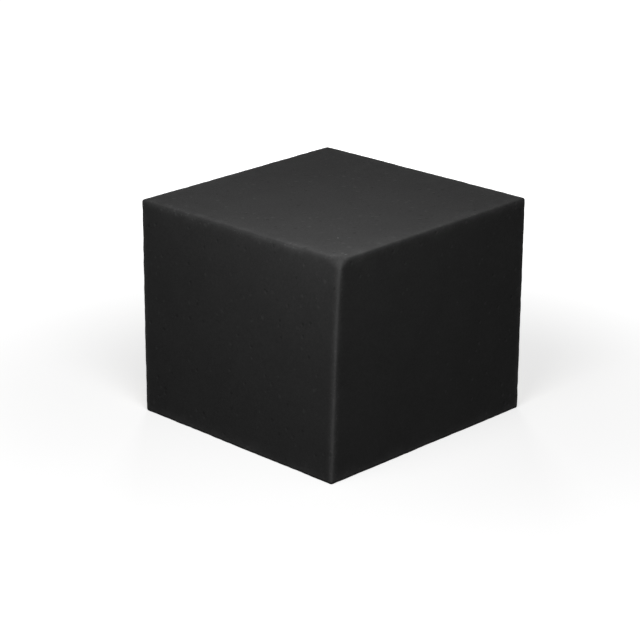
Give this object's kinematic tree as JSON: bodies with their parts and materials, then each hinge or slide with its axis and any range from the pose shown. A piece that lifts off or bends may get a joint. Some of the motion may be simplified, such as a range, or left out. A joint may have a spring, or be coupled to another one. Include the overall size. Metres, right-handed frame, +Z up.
{
  "type": "acoustic corner block",
  "caption": "Plain rectangular block of open-cell acoustic foam for a room corner, with peel-off adhesive pads on its two wall faces.",
  "frame": {"origin": "middle of the block's base, on the surface it stands on", "axes": "+Z up; +X out of the face that meets the right wall, +Y out of the face that meets the left wall, so the corner of the room is at +X +Y"},
  "size_m": [0.3068, 0.3068, 0.254],
  "materials": {
    "charcoal_foam": "matte open-cell polyurethane foam, charcoal, saw-cut",
    "white_foam_tape": "white closed-cell foam with adhesive on both faces",
    "glassine_paper": "smooth siliconised glassine, slight sheen"
  },
  "bodies": {
    "root": {"foam_block": "charcoal_foam", "left_pad_top_outer": "white_foam_tape", "left_pad_top_inner": "white_foam_tape", "left_pad_centre": "white_foam_tape", "left_pad_bottom_outer": "white_foam_tape", "left_pad_bottom_inner": "white_foam_tape", "right_pad_top_outer": "white_foam_tape", "right_pad_top_inner": "white_foam_tape", "right_pad_centre": "white_foam_tape", "right_pad_bottom_outer": "white_foam_tape", "right_pad_bottom_inner": "white_foam_tape", "left_liner_top_outer": "glassine_paper", "left_liner_top_inner": "glassine_paper", "left_liner_centre": "glassine_paper", "left_liner_bottom_outer": "glassine_paper", "left_liner_bottom_inner": "glassine_paper", "right_liner_top_outer": "glassine_paper", "right_liner_top_inner": "glassine_paper", "right_liner_centre": "glassine_paper", "right_liner_bottom_outer": "glassine_paper", "right_liner_bottom_inner": "glassine_paper"}
  },
  "joints": []
}
